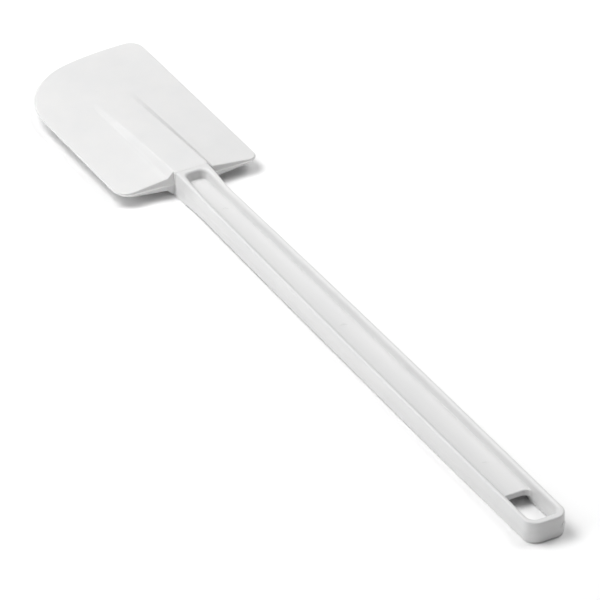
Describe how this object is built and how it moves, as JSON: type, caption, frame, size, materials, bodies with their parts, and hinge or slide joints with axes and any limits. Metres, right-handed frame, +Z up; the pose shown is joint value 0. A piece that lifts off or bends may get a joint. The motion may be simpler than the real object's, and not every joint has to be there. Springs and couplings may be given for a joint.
{
  "type": "bowl scraper",
  "caption": "Long-handled bowl scraper: flexible wedge-section blade with one large rounded corner, moulded over the end of a rigid channelled handle with a hang slot in its butt.",
  "frame": {"origin": "middle of the length and width, level with the underside of the neck, which the tool rests on", "axes": "+Y from the butt towards the blade's tip, +X across the blade towards its small rounded corner, +Z up, out of the upper channel"},
  "size_m": [0.0698, 0.419, 0.0126],
  "materials": {
    "handle": "satin white injection-moulded plastic",
    "blade": "matte white food-grade elastomer"
  },
  "bodies": {
    "root": {"handle": "handle", "blade": "blade"}
  },
  "joints": []
}
